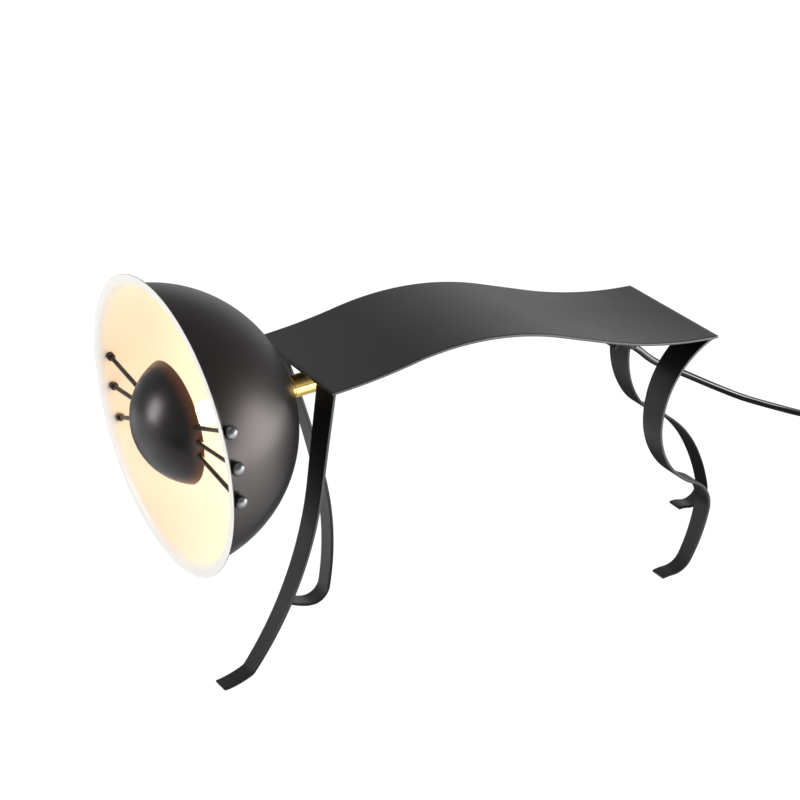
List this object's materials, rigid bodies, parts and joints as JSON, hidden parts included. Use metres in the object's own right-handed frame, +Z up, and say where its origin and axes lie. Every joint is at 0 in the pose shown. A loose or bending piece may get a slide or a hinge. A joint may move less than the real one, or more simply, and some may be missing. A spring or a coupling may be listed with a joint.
{
  "type": "table lamp",
  "caption": "Cat-shaped table lamp: bent sheet-steel body on four strip legs, bowl shade with nose dome and whisker rods on a brass swivel, cord with rocker switch and plug.",
  "frame": {"origin": "middle of the lamp's bounding box, on the table, the free cord left out", "axes": "+X from head to tail, +Y to the cat's right, +Z up"},
  "size_m": [0.7238, 0.2515, 0.2674],
  "materials": {
    "charcoal_paint": "satin charcoal powder coat",
    "brass": "polished",
    "steel": "plain",
    "polished_steel": "polished",
    "black_steel": "blackened",
    "white_ceramic": "glazed",
    "opal_glass": "frosted",
    "cord_black": "glossy black sheath",
    "black_rubber": "matt",
    "black_plastic": "moulded"
  },
  "bodies": {
    "stand": {"back_plate": "charcoal_paint", "front_left_leg": "charcoal_paint", "front_right_leg": "charcoal_paint", "rear_left_leg": "charcoal_paint", "rear_right_leg": "charcoal_paint", "swivel_bracket": "charcoal_paint", "turn_stop_pin": "steel", "cord_clips": "charcoal_paint", "body_cord": "cord_black", "cord_anchor": "charcoal_paint", "strain_relief": "black_rubber", "cord_run": "cord_black", "switch_base": "black_plastic", "switch_cover": "black_plastic", "cord_link": "cord_black", "cord_coil": "cord_black", "cord_tie": "black_rubber", "plug_body": "black_plastic", "plug_pins": "polished_steel"},
    "swivel": {"swivel_fork": "brass", "swivel_pin": "brass", "swivel_washer": "steel", "swivel_nut": "steel"},
    "head": {"swivel_tongue": "brass", "shade_washer": "steel", "shade_bowl": "charcoal_paint", "shade_nipple": "steel", "shade_nut": "steel", "lamp_holder": "white_ceramic", "bulb_foot": "white_ceramic", "bulb_envelope": "opal_glass", "nose_dome": "charcoal_paint", "whisker_rods": "black_steel", "whisker_cap_nuts": "polished_steel", "whisker_collars": "black_steel", "dome_nuts": "steel"},
    "rocker": {"switch_rocker": "black_plastic"}
  },
  "joints": [
    {"name": "head_turn", "type": "hinge", "parent": "stand", "child": "swivel", "pos_m": [-0.1011, 0.00269, 0.1776], "axis": [-0.9961, -0.0235, -0.0854], "range_deg": [-45, 45]},
    {"name": "head_tilt", "type": "hinge", "parent": "swivel", "child": "head", "pos_m": [-0.1011, 0.00269, 0.1776], "axis": [-0.0236, 0.9997, 0], "range_deg": [-6, 15]},
    {"name": "switch_rock", "type": "hinge", "parent": "stand", "child": "rocker", "pos_m": [0.478, 0.046, 0.0135], "axis": [1, 0, 0], "range_deg": [0, 14]}
  ]
}
